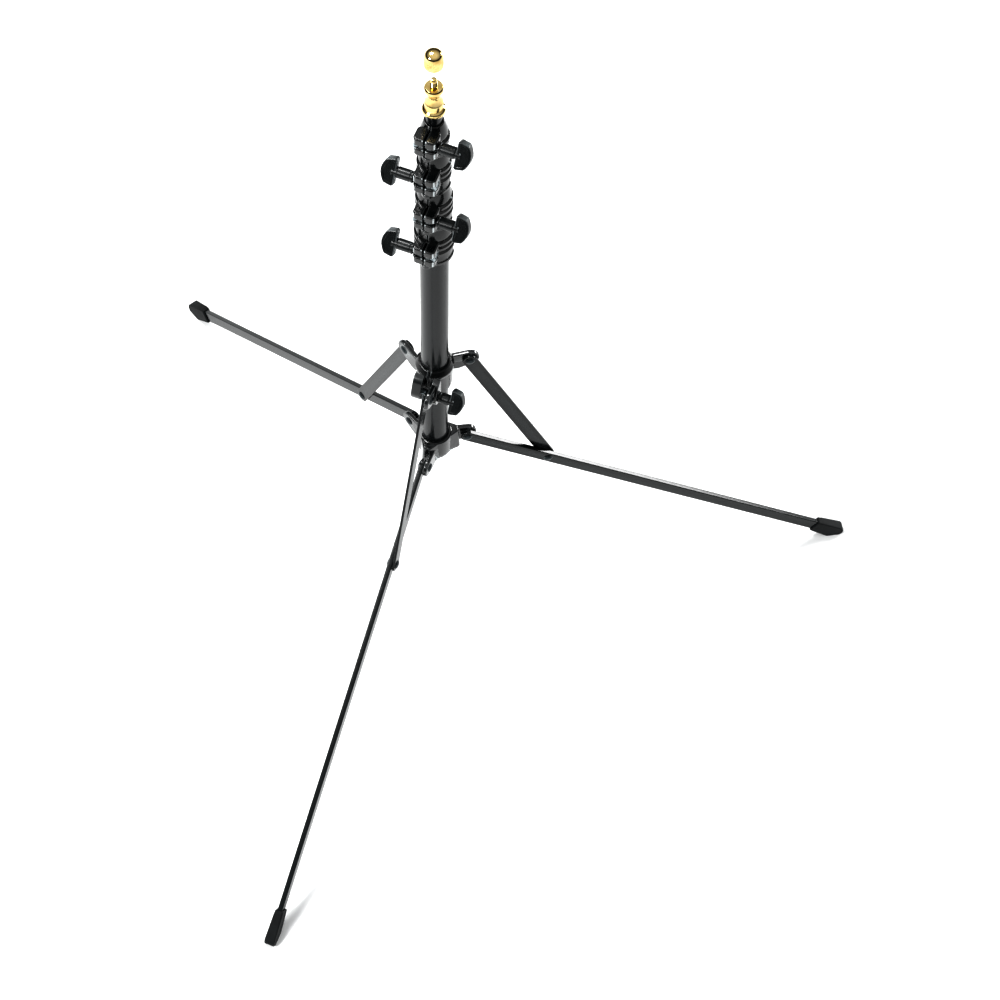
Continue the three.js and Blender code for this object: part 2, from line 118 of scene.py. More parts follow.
@dataclass(frozen=True)
class Finish:
    """A real material and the way its surface was made.

    Sizes are millimetres: the pattern's spacing, its depth, and the width of the slow patches that vary
    its tone.
    """

    name: str
    slot: str
    colour: str
    patch_colour: str
    # The edge colour and its share paint a pale highlight onto sharp corners.
    edge_highlight_colour: str
    roughness: tuple[float, float]
    metallic: float
    pattern: Pattern
    spacing_mm: float
    depth_mm: float
    patch_mm: float
    coat: float = 0.0
    ior: float = 1.5
    specular: float = 0.5
    edge_highlight_share: float = 0.0

    def height(self, tree: bpy.types.NodeTree, place: bpy.types.NodeSocket) -> bpy.types.NodeSocket:
        """Adds the fine pattern.

        Args:
            tree: The material's node tree.
            place: Object coordinates in metres.

        Returns:
            The socket that holds the pattern's height.
        """
        per_metre = 1.0 / (self.spacing_mm * MM)
        if self.pattern is Pattern.TURNED:
            # A wave's bands repeat every pi / 10 of its scaled coordinate.
            rings = {"Vector": place, "Scale": per_metre * math.pi / 10, "Distortion": 0.6}
            return add_node(
                tree, "ShaderNodeTexWave", rings, wave_type="BANDS", bands_direction="Z",
            ).outputs["Fac"]
        if self.pattern is Pattern.PEBBLED:
            return add_node(
                tree, "ShaderNodeTexVoronoi", {"Vector": place, "Scale": per_metre}, feature="SMOOTH_F1",
            ).outputs["Distance"]
        stretch = (1.0, 1.0, 0.02) if self.pattern is Pattern.DRAWN else (1.0, 1.0, 1.0)
        lines = add_node(tree, "ShaderNodeMapping", {"Vector": place, "Scale": stretch})
        return add_node(
            tree, "ShaderNodeTexNoise", {"Vector": lines.outputs["Vector"], "Scale": per_metre, "Detail": 3.0},
        ).outputs["Fac"]

    def make(self) -> bpy.types.Material:
        """Builds the material, or finds it if it was built before.

        Returns:
            The material.
        """
        known = bpy.data.materials.get(self.name)
        if known is not None:
            return known
        material = bpy.data.materials.new(self.name)
        material.use_nodes = True
        tree = material.node_tree
        shader = tree.nodes["Principled BSDF"]
        place = add_node(tree, "ShaderNodeTexCoord").outputs["Object"]
        fine = self.height(tree, place)
        patches = add_node(
            tree, "ShaderNodeTexNoise", {"Vector": place, "Scale": 1.0 / (self.patch_mm * MM), "Detail": 4.0},
        ).outputs["Fac"]
        tone = add_node(
            tree, "ShaderNodeMapRange", {"Value": patches, "From Min": 0.35, "From Max": 0.65},
        ).outputs["Result"]
        base = self.mix(tree, tone, linear(self.colour), linear(self.patch_colour))
        # Painted highlight: corners, found by their pointiness, are lightened towards the edge highlight
        # colour.
        if self.edge_highlight_share > 0:
            corner = add_node(tree, "ShaderNodeNewGeometry").outputs["Pointiness"]
            start, full = EDGE_HIGHLIGHT_POINTINESS
            painted_edge_highlight = add_node(
                tree, "ShaderNodeMapRange",
                {"Value": corner, "From Min": start, "From Max": full, "To Max": self.edge_highlight_share},
            ).outputs["Result"]
            base = self.mix(tree, painted_edge_highlight, base, linear(self.edge_highlight_colour))
        tree.links.new(base, shader.inputs["Base Color"])
        rough = add_node(
            tree, "ShaderNodeMapRange",
            {"Value": fine, "To Min": self.roughness[0], "To Max": self.roughness[1]},
        ).outputs["Result"]
        tree.links.new(rough, shader.inputs["Roughness"])
        bump = add_node(
            tree, "ShaderNodeBump", {"Height": fine, "Distance": self.depth_mm * MM, "Strength": 1.0},
        ).outputs["Normal"]
        tree.links.new(bump, shader.inputs["Normal"])
        shader.inputs["Metallic"].default_value = self.metallic
        shader.inputs["IOR"].default_value = self.ior
        shader.inputs["Specular IOR Level"].default_value = self.specular
        shader.inputs["Coat Weight"].default_value = self.coat
        shader.inputs["Coat Roughness"].default_value = 0.12
        return material

    @staticmethod
    def mix(
        tree: bpy.types.NodeTree, share: bpy.types.NodeSocket,
        first: bpy.types.NodeSocket | Colour, second: bpy.types.NodeSocket | Colour,
    ) -> bpy.types.NodeSocket:
        """Blends two colours.

        Args:
            tree: The material's node tree.
            share: How much of the second colour shows.
            first: A colour or a socket.
            second: A colour or a socket.

        Returns:
            The socket that holds the blend.
        """
        node = add_node(tree, "ShaderNodeMix", {0: share, 6: first, 7: second}, data_type="RGBA")
        return node.outputs[2]


# Anodised aluminium tube, drawn: a hard dyed skin over metal, so it is near black with long, clear highlights.
ANODISED_TUBE = Finish(
    "black_anodised_drawn_aluminium", "anodised_tube", "0a0e10", "101517", "39424a", (0.16, 0.26), 0.0,
    Pattern.DRAWN, 0.5, 0.004, 90.0, specular=0.4,
)
# Die-cast aluminium, powder coated: deep semi-gloss black with a slight orange peel, and a painted pale
# highlight on its corners.
CAST_COLLAR = Finish(
    "black_powder_coated_casting", "black_casting", "060809", "0b0f10", "dfe6e8", (0.14, 0.22), 0.0,
    Pattern.EVEN, 1.1, 0.010, 18.0, coat=0.35, specular=0.5, edge_highlight_share=0.9,
)
# Steel strip, folded and stoved in black enamel: smooth and glossy, with a little waviness along the strip, and
# a faint painted highlight on its corners.
ENAMELLED_STEEL = Finish(
    "black_enamelled_folded_steel", "painted_steel", "0a0e0f", "101516", "a9b5b9", (0.14, 0.22), 0.0,
    Pattern.EVEN, 6.0, 0.010, 60.0, specular=0.3, edge_highlight_share=0.12,
)
# Glass-filled nylon, moulded: a fine eroded texture that spreads the light into a soft grey, with a painted
# pale highlight on its corners.
MOULDED_NYLON = Finish(
    "black_moulded_glass_filled_nylon", "knob_plastic", "0a0f10", "101617", "d0d9dc", (0.24, 0.36), 0.0,
    Pattern.PEBBLED, 0.6, 0.006, 12.0, specular=0.6, edge_highlight_share=0.8,
)
# Steel, zinc plated: a cool bright metal with the cloudy bloom of the bath.
ZINC_STEEL = Finish(
    "zinc_plated_steel", "zinc_steel", "7d868a", "a3abae", "d9dde0", (0.24, 0.42), 1.0,
    Pattern.EVEN, 0.35, 0.004, 2.5,
)
# Steel, zinc plated and blacked: the rivet and pin heads are dark, with a painted bright highlight where their
# domes curve most.
BLACKED_STEEL = Finish(
    "black_passivated_steel", "zinc_steel", "262b2d", "3a4143", "c4cbce", (0.22, 0.34), 0.9,
    Pattern.EVEN, 0.3, 0.004, 2.0, edge_highlight_share=0.5,
)
# Brass, turned and polished: warm mirror metal crossed by very fine tool rings.
TURNED_BRASS = Finish(
    "polished_turned_brass", "brass", "e7d39c", "d0b679", "fff6d6", (0.05, 0.12), 1.0,
    Pattern.TURNED, 0.35, 0.0015, 6.0,
)
# Rubber, moulded: a matt black with a dusty bloom and a fine sandy grain, and a painted grey highlight on its
# corners.
MOULDED_RUBBER = Finish(
    "black_moulded_rubber", "rubber", "0b0d0e", "141718", "5a6366", (0.50, 0.68), 0.0,
    Pattern.PEBBLED, 0.6, 0.02, 8.0, specular=0.25, edge_highlight_share=0.4,
)
# Nylon, turned: the guide rings and the plug are a dull, even dark grey.
TURNED_NYLON = Finish(
    "dark_turned_nylon", "nylon", "1b1f21", "222729", "6c7478", (0.45, 0.60), 0.0,
    Pattern.TURNED, 0.5, 0.006, 10.0,
)


# ------------------------------------------------------------------ modelling


def lathe(profile: Outline, steps: int = 72) -> bmesh.types.BMesh:
    """Turns a profile about Z.

    Args:
        profile: Radius and height of each corner. It starts and ends on the axis, or is a closed loop off it.
        steps: Sides round the whole turn.

    Returns:
        The closed shape.
    """
    shape = bmesh.new()
    corners = [shape.verts.new((radius, 0.0, height)) for radius, height in profile]
    edges = [shape.edges.new(pair) for pair in zip(corners, corners[1:])]
    if profile[0][0] > 0:
        edges.append(shape.edges.new((corners[-1], corners[0])))
    bmesh.ops.spin(
        shape, geom=corners + edges, cent=(0, 0, 0), axis=(0, 0, 1), angle=math.tau, steps=steps,
        use_merge=True,
    )
    bmesh.ops.remove_doubles(shape, verts=shape.verts, dist=1e-4)
    bmesh.ops.recalc_face_normals(shape, faces=shape.faces)
    return shape


def slab(outline: Outline, low: float, high: float) -> bmesh.types.BMesh:
    """Extrudes a closed outline in X and Y up Z.

    Args:
        outline: The corners in order.
        low: Height of the underside.
        high: Height of the top.

    Returns:
        The closed shape.
    """
    shape = bmesh.new()
    face = shape.faces.new([shape.verts.new((x, y, low)) for x, y in outline])
    grown = bmesh.ops.extrude_face_region(shape, geom=[face])["geom"]
    upper = [part for part in grown if isinstance(part, bmesh.types.BMVert)]
    bmesh.ops.translate(shape, verts=upper, vec=(0, 0, high - low))
    bmesh.ops.recalc_face_normals(shape, faces=shape.faces)
    return shape


def box(low: tuple[float, float, float], high: tuple[float, float, float]) -> bmesh.types.BMesh:
    """A box between two corners, used as a cutter or a blank."""
    return slab([(low[0], low[1]), (high[0], low[1]), (high[0], high[1]), (low[0], high[1])], low[2], high[2])


def soften(shape: bmesh.types.BMesh, width: float, segments: int = 2, angle: float = 28.0) -> bmesh.types.BMesh:
    """Rounds every edge that is sharper than an angle.

    Args:
        shape: The shape, which is changed.
        width: Width of the rounding.
        segments: Steps across it.
        angle: Least angle between two faces, in degrees, for an edge to be rounded.

    Returns:
        The same shape.
    """
    sharp = [e for e in shape.edges if len(e.link_faces) == 2 and e.calc_face_angle() > math.radians(angle)]
    bmesh.ops.bevel(
        shape, geom=sharp, offset=width, offset_type="OFFSET", affect="EDGES", segments=segments, profile=0.5,
        material=-1, clamp_overlap=True,
    )
    bmesh.ops.recalc_face_normals(shape, faces=shape.faces)
    return shape


def moved(shape: bmesh.types.BMesh, matrix: Matrix) -> bmesh.types.BMesh:
    """Moves a shape and returns it."""
    bmesh.ops.transform(shape, matrix=matrix, verts=shape.verts)
    return shape


def to_mesh(shape: bmesh.types.BMesh, name: str) -> bpy.types.Mesh:
    """Writes a shape to a new mesh and frees it.

    Args:
        shape: The shape, used up.
        name: The mesh's name.

    Returns:
        The new mesh.
    """
    mesh = bpy.data.meshes.new(name)
    shape.to_mesh(mesh)
    shape.free()
    return mesh


def cut(body: bmesh.types.BMesh, *tools: bmesh.types.BMesh) -> bmesh.types.BMesh:
    """Cuts tools out of a body.

    Args:
        body: The closed shape to cut.
        tools: Closed shapes, used up by the cut.

    Returns:
        What is left.
    """
    blank = bpy.data.objects.new("blank", to_mesh(body, "blank"))
    bpy.context.scene.collection.objects.link(blank)
    cutters = []
    for tool in tools:
        cutter = bpy.data.objects.new("cutter", to_mesh(tool, "cutter"))
        bpy.context.scene.collection.objects.link(cutter)
        cutters.append(cutter)
        modifier = blank.modifiers.new("cut", "BOOLEAN")
        modifier.object = cutter
        modifier.operation = "DIFFERENCE"
        modifier.solver = "EXACT"
    graph = bpy.context.evaluated_depsgraph_get()
    mesh = bpy.data.meshes.new_from_object(blank.evaluated_get(graph))
    rest = bmesh.new()
    rest.from_mesh(mesh)
    bpy.data.meshes.remove(mesh)
    for spare in [blank, *cutters]:
        data = spare.data
        bpy.data.objects.remove(spare)
        bpy.data.meshes.remove(data)
    return rest


def arc(centre: tuple[float, float], radius: float, start: float, end: float, steps: int) -> Outline:
    """Points on an arc, its angles in degrees."""
    turns = [math.radians(start + (end - start) * i / steps) for i in range(steps + 1)]
    return [(centre[0] + radius * math.cos(a), centre[1] + radius * math.sin(a)) for a in turns]


def link_outline(
    start: tuple[float, float], end: tuple[float, float], half: float, steps: int = 14, start_half: float = 0.0,
) -> Outline:
    """Outline of a bar with a round end at both points.

    Args:
        start: Centre of the first end.
        end: Centre of the second end.
        half: Radius of the second end, and of the first unless it has its own.
        steps: Steps round each end.
        start_half: Radius of the first end, where the bar tapers.

    Returns:
        The corners in order.
    """
    wide = start_half or half
    heading = math.degrees(math.atan2(end[1] - start[1], end[0] - start[0]))
    lean = math.degrees(math.asin((wide - half) / math.dist(start, end)))
    back = arc(start, wide, heading + 90 - lean, heading + 270 + lean, steps)
    return back + arc(end, half, heading - 90 + lean, heading + 90 - lean, steps)


def thread(crest: float, start: float, end: float, pitch: float) -> Outline:
    """Profile of a threaded bar, with a lead chamfer at both ends. Ring grooves stand for the helix.

    Args:
        crest: Radius over the crests.
        start: Height of the lower end.
        end: Height of the upper end.
        pitch: Distance between grooves.

    Returns:
        Radius and height of each corner.
    """
    depth = 0.6 * pitch
    turns = int((end - start - 2 * pitch) / pitch)
    points = [(0.0, start), (crest - depth, start)]
    for i in range(turns):
        low = start + pitch * (1 + i)
        points += [(crest - depth, low), (crest, low + 0.4 * pitch), (crest, low + 0.55 * pitch)]
    return points + [(crest - depth, end - 0.6 * pitch), (crest - depth - 0.3, end), (0.0, end)]


# Turns a shape drawn in X and Y so that it stands in X and Z.
UPRIGHT = Matrix.Rotation(math.radians(90), 4, "X")
# Turns a shape made about Z so that it lies about X or Y.
ABOUT_X = Matrix.Rotation(math.radians(90), 4, "Y")
ABOUT_Y = Matrix.Rotation(math.radians(-90), 4, "X")


def bar_x(radius: float, start: float, end: float, y: float, z: float, sides: int = 36) -> bmesh.types.BMesh:
    """A plain bar along X, used as a cutter."""
    bar = lathe([(0, start), (radius, start), (radius, end), (0, end)], sides)
    return moved(bar, Matrix.Translation((0, y, z)) @ ABOUT_X)


def bar_y(radius: float, start: float, end: float, x: float, z: float, sides: int = 36) -> bmesh.types.BMesh:
    """A plain bar along Y, used as a cutter."""
    bar = lathe([(0, start), (radius, start), (radius, end), (0, end)], sides)
    return moved(bar, Matrix.Translation((x, 0, z)) @ ABOUT_Y)


def upright_slab(outline: Outline, low: float, high: float) -> bmesh.types.BMesh:
    """Extrudes an outline in X and Z from one Y to another."""
    return moved(slab(outline, -high, -low), UPRIGHT)


def column_axis() -> Vector:
    """The foot of the column's axis, in metres, from the base tube's box."""
    low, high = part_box("base_tube")
    return Vector(((low.x + high.x) / 2, (low.y + high.y) / 2, 0.0))


def deliver(
    node: str, body: str, finish: Finish, shells: list[bmesh.types.BMesh], place: Matrix | None = None,
    crisp: bool = True,
) -> None:
    """Makes one finished piece of its shells and puts it in the CAD node's place.

    Args:
        node: The CAD node that the piece stands for.
        body: The CAD body that it rides on.
        finish: What it is made of.
        shells: Closed shapes in millimetres, which may run into each other.
        place: Where the shapes' own frame lies from the column's axis.
        crisp: True where flat faces meet rounded edges.
    """
    whole = bmesh.new()
    for shell in shells:
        part = to_mesh(shell, "shell")
        whole.from_mesh(part)
        bpy.data.meshes.remove(part)
    to_frame = Matrix.Translation(column_axis()) @ Matrix.Scale(MM, 4) @ (place or Matrix.Identity(4))
    bmesh.ops.transform(whole, matrix=to_frame, verts=whole.verts)
    for face in whole.faces:
        face.smooth = True
        face.material_index = 0
    for edge in whole.edges:
        edge.smooth = len(edge.link_faces) == 2 and edge.calc_face_angle() < math.radians(CREASE_ANGLE)
    name = f"{node}_look"
    mesh = to_mesh(whole, name)
    mesh.materials.clear()
    mesh.materials.append(finish.make())
    piece = bpy.data.objects.new(name, mesh)
    bpy.context.scene.collection.objects.link(piece)
    if crisp:
        normals = piece.modifiers.new("flat_faces", "WEIGHTED_NORMAL")
        normals.keep_sharp = True
    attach(piece, body)
    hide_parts(node)
    log.info("%s: %d faces, %s", name, len(mesh.polygons), finish.name)


# ------------------------------------------------------------------ column


@dataclass
class TubeStack:
    """The base tube and the four risers, with the nylon guides in their lower ends."""

    wall: float = 1.2
    rim: float = 0.35
    guide_length: float = 8.0
    names: list[str] = field(default_factory=lambda: ["base_tube"] + [f"riser_tube_{i}" for i in range(1, 5)])
    bodies: list[str] = field(default_factory=lambda: ["column"] + [f"riser_{i}" for i in range(1, 5)])

    def tube(self, radius: float, low: float, high: float) -> bmesh.types.BMesh:
        """One drawn tube with rounded rims.

        Args:
            radius: Outer radius.
            low: Height of the lower end.
            high: Height of the upper end.

        Returns:
            The closed shape.
        """
        bore = radius - self.wall
        ring = lathe([(bore, low), (radius, low), (radius, high), (bore, high)], 96)
        return soften(ring, self.rim, 3)

    def guide(self, radius: float, low: float) -> bmesh.types.BMesh:
        """The guide ring of a riser: a shoulder under the tube's end and a grooved spout inside it.

        Args:
            radius: Outer radius of the tube.
            low: Height of the tube's lower end.

        Returns:
            The closed shape.
        """
        bore = radius - self.wall - 2.5
        spout = radius - self.wall - GAP
        profile = [
            (bore, low - 2.5), (radius - 0.1, low - 2.5), (radius - 0.1, low - GAP), (spout, low - GAP),
            (spout, low + 2.5), (spout - 0.5, low + 3.0), (spout - 0.5, low + 4.0), (spout, low + 4.5),
            (spout, low + self.guide_length), (bore, low + self.guide_length),
        ]
        return soften(lathe(profile, 64), 0.2, 2)

    def build(self) -> None:
        """Models every tube and guide."""
        for i, (node, body) in enumerate(zip(self.names, self.bodies)):
            low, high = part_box(node)
            radius = (high.x - low.x) / 2 / MM
            deliver(node, body, ANODISED_TUBE, [self.tube(radius, low.z / MM, high.z / MM)])
            if i > 0:
                deliver(f"riser_guide_{i}", body, TURNED_NYLON, [self.guide(radius, low.z / MM)])


@dataclass
class PaddleKnob:
    """A moulded knob, a round shaft with a flat paddle, on a steel clamp screw."""

    shaft_radius: float = 5.3
    paddle_depth: float = 13.5
    inner_half: float = 13.0
    outer_half: float = 10.0
    thickness: float = 9.0
    screw_radius: float = 2.9
    turn: float = 58.0

    def paddle(self, start: float) -> bmesh.types.BMesh:
        """The paddle, wide at its root and domed at its end, with a shallow panel in each broad face.

        Args:
            start: Where it meets the shaft, along X.

        Returns:
            The closed shape.
        """
        end = start + self.paddle_depth
        dome = [
            (end - 4.5, -self.outer_half - 1.4), (end - 3.0, -self.outer_half + 0.6), (end - 1.6, -6.6),
            (end - 0.5, -3.4),
        ]
        other_side = [(x, -y) for x, y in reversed(dome)]
        outline = [
            (start, self.inner_half - 1.5), (start, 1.5 - self.inner_half), (start + 1.5, -self.inner_half),
            *dome, (end, 0.0), *other_side, (start + 1.5, self.inner_half),
        ]
        shape = slab(outline[::-1], -self.thickness / 2, self.thickness / 2)
        soften(shape, 1.3, 4, 50.0)
        shape.faces.ensure_lookup_table()
        broad = sorted(shape.faces, key=lambda f: f.calc_area())[-2:]
        bmesh.ops.inset_region(shape, faces=broad, thickness=1.1, depth=0.0, use_even_offset=True)
        bmesh.ops.inset_region(shape, faces=broad, thickness=0.5, depth=-0.5, use_even_offset=True)
        return shape

    def shaft(self, start: float, end: float) -> bmesh.types.BMesh:
        """The shaft, with a rolled foot, a waist groove and a bored end for the screw.

        Args:
            start: Where it starts, along X.
            end: Where the paddle starts.

        Returns:
            The closed shape.
        """
        r = self.shaft_radius
        bore = self.screw_radius + GAP
        profile = [
            (0, start + 9), (bore, start + 9), (bore, start), (r - 0.5, start), (r, start + 0.6),
            (r, start + 1.8), (r - 0.35, start + 2.2), (r - 0.35, start + 3.0), (r, start + 3.4),
            (r, end - 1.6), (r - 0.6, end - 1.0), (r - 0.6, end + 4), (0, end + 4),
        ]
        closed = lathe(profile, 48)
        return moved(soften(closed, 0.25, 2), ABOUT_X)

    def screw(self, start: float, end: float) -> bmesh.types.BMesh:
        """The clamp screw, a metric thread of 1 mm pitch."""
        return moved(lathe(thread(self.screw_radius, start, end, 1.0), 32), ABOUT_X)

    def build(
        self, knob: str, screw: str, body: str, side: int, y: float, z: float, spans: tuple[float, ...],
    ) -> None:
        """Models a knob and its screw.

        Args:
            knob: CAD node of the knob.
            screw: CAD node of the screw.
            body: The body that both ride on.
            side: Which way the knob points along X.
            y: The screw's axis, from the column's.
            z: The screw's height.
            spans: Where the shaft starts and ends, and where the screw ends.
        """
        start, end, tip = spans
        facing = Matrix.Rotation(0 if side > 0 else math.pi, 4, "Z")
        place = Matrix.Translation((0, y, z)) @ Matrix.Rotation(math.radians(self.turn), 4, "X") @ facing
        deliver(knob, body, MOULDED_NYLON, [self.shaft(start, end), self.paddle(end)], place)
        deliver(screw, body, ZINC_STEEL, [self.screw(tip, start + 8.5)], place)


def hexagon(across_flats: float, low: float, high: float) -> bmesh.types.BMesh:
    """A hexagonal bar about Z, used as the blank of a nut or to cut its pocket."""
    return slab(arc((0, 0), across_flats / math.sqrt(3), 0, 300, 5), low, high)


def hexagon_nut(bore: float) -> bmesh.types.BMesh:
    """A hexagon nut about Z, its underside on the origin, with chamfered corners.

    Args:
        bore: Radius of its clear bore.

    Returns:
        The closed shape.
    """
    thickness = NUT_THICKNESS - GAP
    shape = soften(hexagon(NUT_FLATS, 0, thickness), 0.35, 2, 80.0)
    return cut(shape, lathe([(0, -1), (bore, -1), (bore, thickness + 1), (0, thickness + 1)], 32))


@dataclass
class ClampCollars:
    """The four split collars that grip the risers, each with its nut, screw and knob."""

    bottom: float = 627.0
    pitch: float = 51.0
    heights: tuple[float, ...] = (49.5, 49.5, 49.5, 37.0)
    radii: tuple[float, ...] = (13.0, 11.5, 10.0, 8.5, 7.0)
    wall: float = 4.0
    socket: float = 20.0
    lug_width: float = 10.5
    lug_reach: float = 10.5
    lug_bottom: float = 13.0
    lug_height: float = 22.0
    split: float = 0.75
    screw_reach: float = 3.5
    sides: tuple[int, ...] = (-1, 1, -1, 1)
    knob: PaddleKnob = field(default_factory=PaddleKnob)

    def sleeve(self, i: int) -> bmesh.types.BMesh:
        """The sleeve: a bead at the foot, raised ribs, a cone at the top, and the split through its front.

        Args:
            i: Which collar, from the lowest.

        Returns:
            The closed shape.
        """
        low = self.bottom + self.pitch * i
        high = low + self.heights[i]
        out = self.radii[i] + self.wall
        socket, grip = self.radii[i] + GAP, self.radii[i + 1] + 0.35
        step = low + self.socket + GAP
        lug = low + self.lug_bottom
        # The topmost collar runs in to the thin riser; the others stop short of the collar above.
        cone, tip = (high - 11.0, out - 2.6) if i < 3 else (high - 12.0, grip + 1.4)
        ribs = []
        root, crest = out - 0.9, out + 1.0
        for base in (lug + 0.5, lug + 8.5, lug + 16.0):
            if base + 5.5 < cone:
                ribs += [(root, base), (crest, base + 1.1), (crest, base + 4.4), (root, base + 5.5)]
        profile = [
            (socket, low), (out, low), (out + 0.6, low + 0.6), (out + 0.6, low + 3.6), (out - 0.4, low + 4.4),
            *ribs, (out - 0.4, cone), (tip, high - 0.6), (tip - 0.5, high), (grip, high), (grip, step),
            (socket, step),
        ]
        ring = soften(lathe(profile, 96), 0.25, 2)
        slot = box((-self.split, -out - 3, lug - 2), (self.split, 2 - grip, high + 1))
        return cut(ring, slot)

    def lip(self, i: int) -> bmesh.types.BMesh:
        """The pointed lip that stands forward under the lugs.

        Args:
            i: Which collar, from the lowest.

        Returns:
            The closed shape.
        """
        out = self.radii[i] + self.wall
        low = self.bottom + self.pitch * i
        outline = [(1 - out, -6.0), (-3.0, -out - 5.2), (0.0, -out - 6.0), (3.0, -out - 5.2), (out - 1, -6.0)]
        blank = soften(slab(outline, low + 0.6, low + 5.4), 0.9, 3, 25.0)
        bore = self.radii[i] + GAP + 1
        return cut(blank, lathe([(0, low - 1), (bore, low - 1), (bore, low + 8), (0, low + 8)], 64))

    def lug(self, i: int, side: int) -> list[bmesh.types.BMesh]:
        """One lug: two rounded bands with a recessed web between, drilled for the screw.

        Args:
            i: Which collar, from the lowest.
            side: Which way the lug stands along X.

        Returns:
            The shells of the lug.
        """
        out = self.radii[i] + self.wall
        front, axis = -(out + self.lug_reach), -(out + self.screw_reach)
        root = -(math.sqrt(out * out - self.lug_width ** 2) - 0.6)
        inner = -(self.radii[i] + 0.7)
        low = self.bottom + self.pitch * i + self.lug_bottom
        middle = low + self.lug_height / 2
        shells = []
        bands = [
            (low, middle - 2.0, 0.0),
            (middle - 3.2, middle + 3.2, 2.6),
            (middle + 2.0, low + self.lug_height, 0.0),
        ]
        for bottom, top, sunk in bands:
            outline = [
                (self.split + 0.4 * sunk, inner), (self.split + 0.4 * sunk, front + sunk),
                (self.lug_width - 2.4 - sunk, front + sunk), (self.lug_width - sunk, front + 2.4 + sunk),
                (self.lug_width - sunk, root),
            ]
            # The topmost collar's upper band stops short of the riser, beside the cone.
            if i == 3 and top > middle + 4:
                outline[-1:] = [(self.lug_width, -10.0), (8.0, -7.4), (4.5, -7.6)]
                outline[0] = (self.split, -8.6)
            blank = slab([(side * x, y) for x, y in outline], bottom, top)
            soften(blank, 2.2 if sunk == 0 else 0.3, 5 if sunk == 0 else 2, 35.0)
            tools = [bar_x(self.knob.screw_radius + 0.4, -12, 12, axis, middle)]
            if side != self.sides[i]:
                hole = hexagon(NUT_POCKET_FLATS, self.lug_width - NUT_THICKNESS - GAP, self.lug_width + 2)
                tools.append(moved(hole, Matrix.Translation((0, axis, middle)) @ self.facing(side)))
            shells.append(cut(blank, *tools))
        return shells

    @staticmethod
    def facing(side: int) -> Matrix:
        """Turns a shape made about Z so that it points along X to one side."""
        return Matrix.Rotation(math.radians(90 * side), 4, "Y")

    def build(self) -> None:
        """Models every collar with its nut, screw and knob."""
        bodies = ["column", "riser_1", "riser_2", "riser_3"]
        for i, side in enumerate(self.sides):
            y = -(self.radii[i] + self.wall + self.screw_reach)
            z = self.bottom + self.pitch * i + self.lug_bottom + self.lug_height / 2
            shells = [self.sleeve(i), self.lip(i), *self.lug(i, -1), *self.lug(i, 1)]
            deliver(f"clamp_collar_{i + 1}", bodies[i], CAST_COLLAR, shells)
            floor = Matrix.Translation((0, 0, self.lug_width - NUT_THICKNESS))
            seat = Matrix.Translation((0, y, z)) @ self.facing(-side) @ floor
            nut = hexagon_nut(self.knob.screw_radius + GAP)
            deliver(f"clamp_nut_{i + 1}", bodies[i], ZINC_STEEL, [nut], seat)
            self.knob.build(
                f"clamp_knob_{i + 1}", f"clamp_screw_{i + 1}", f"knob_{i + 1}", side, y, z,
                (self.lug_width + GAP, 27.0, 0.5 - self.lug_width),
            )


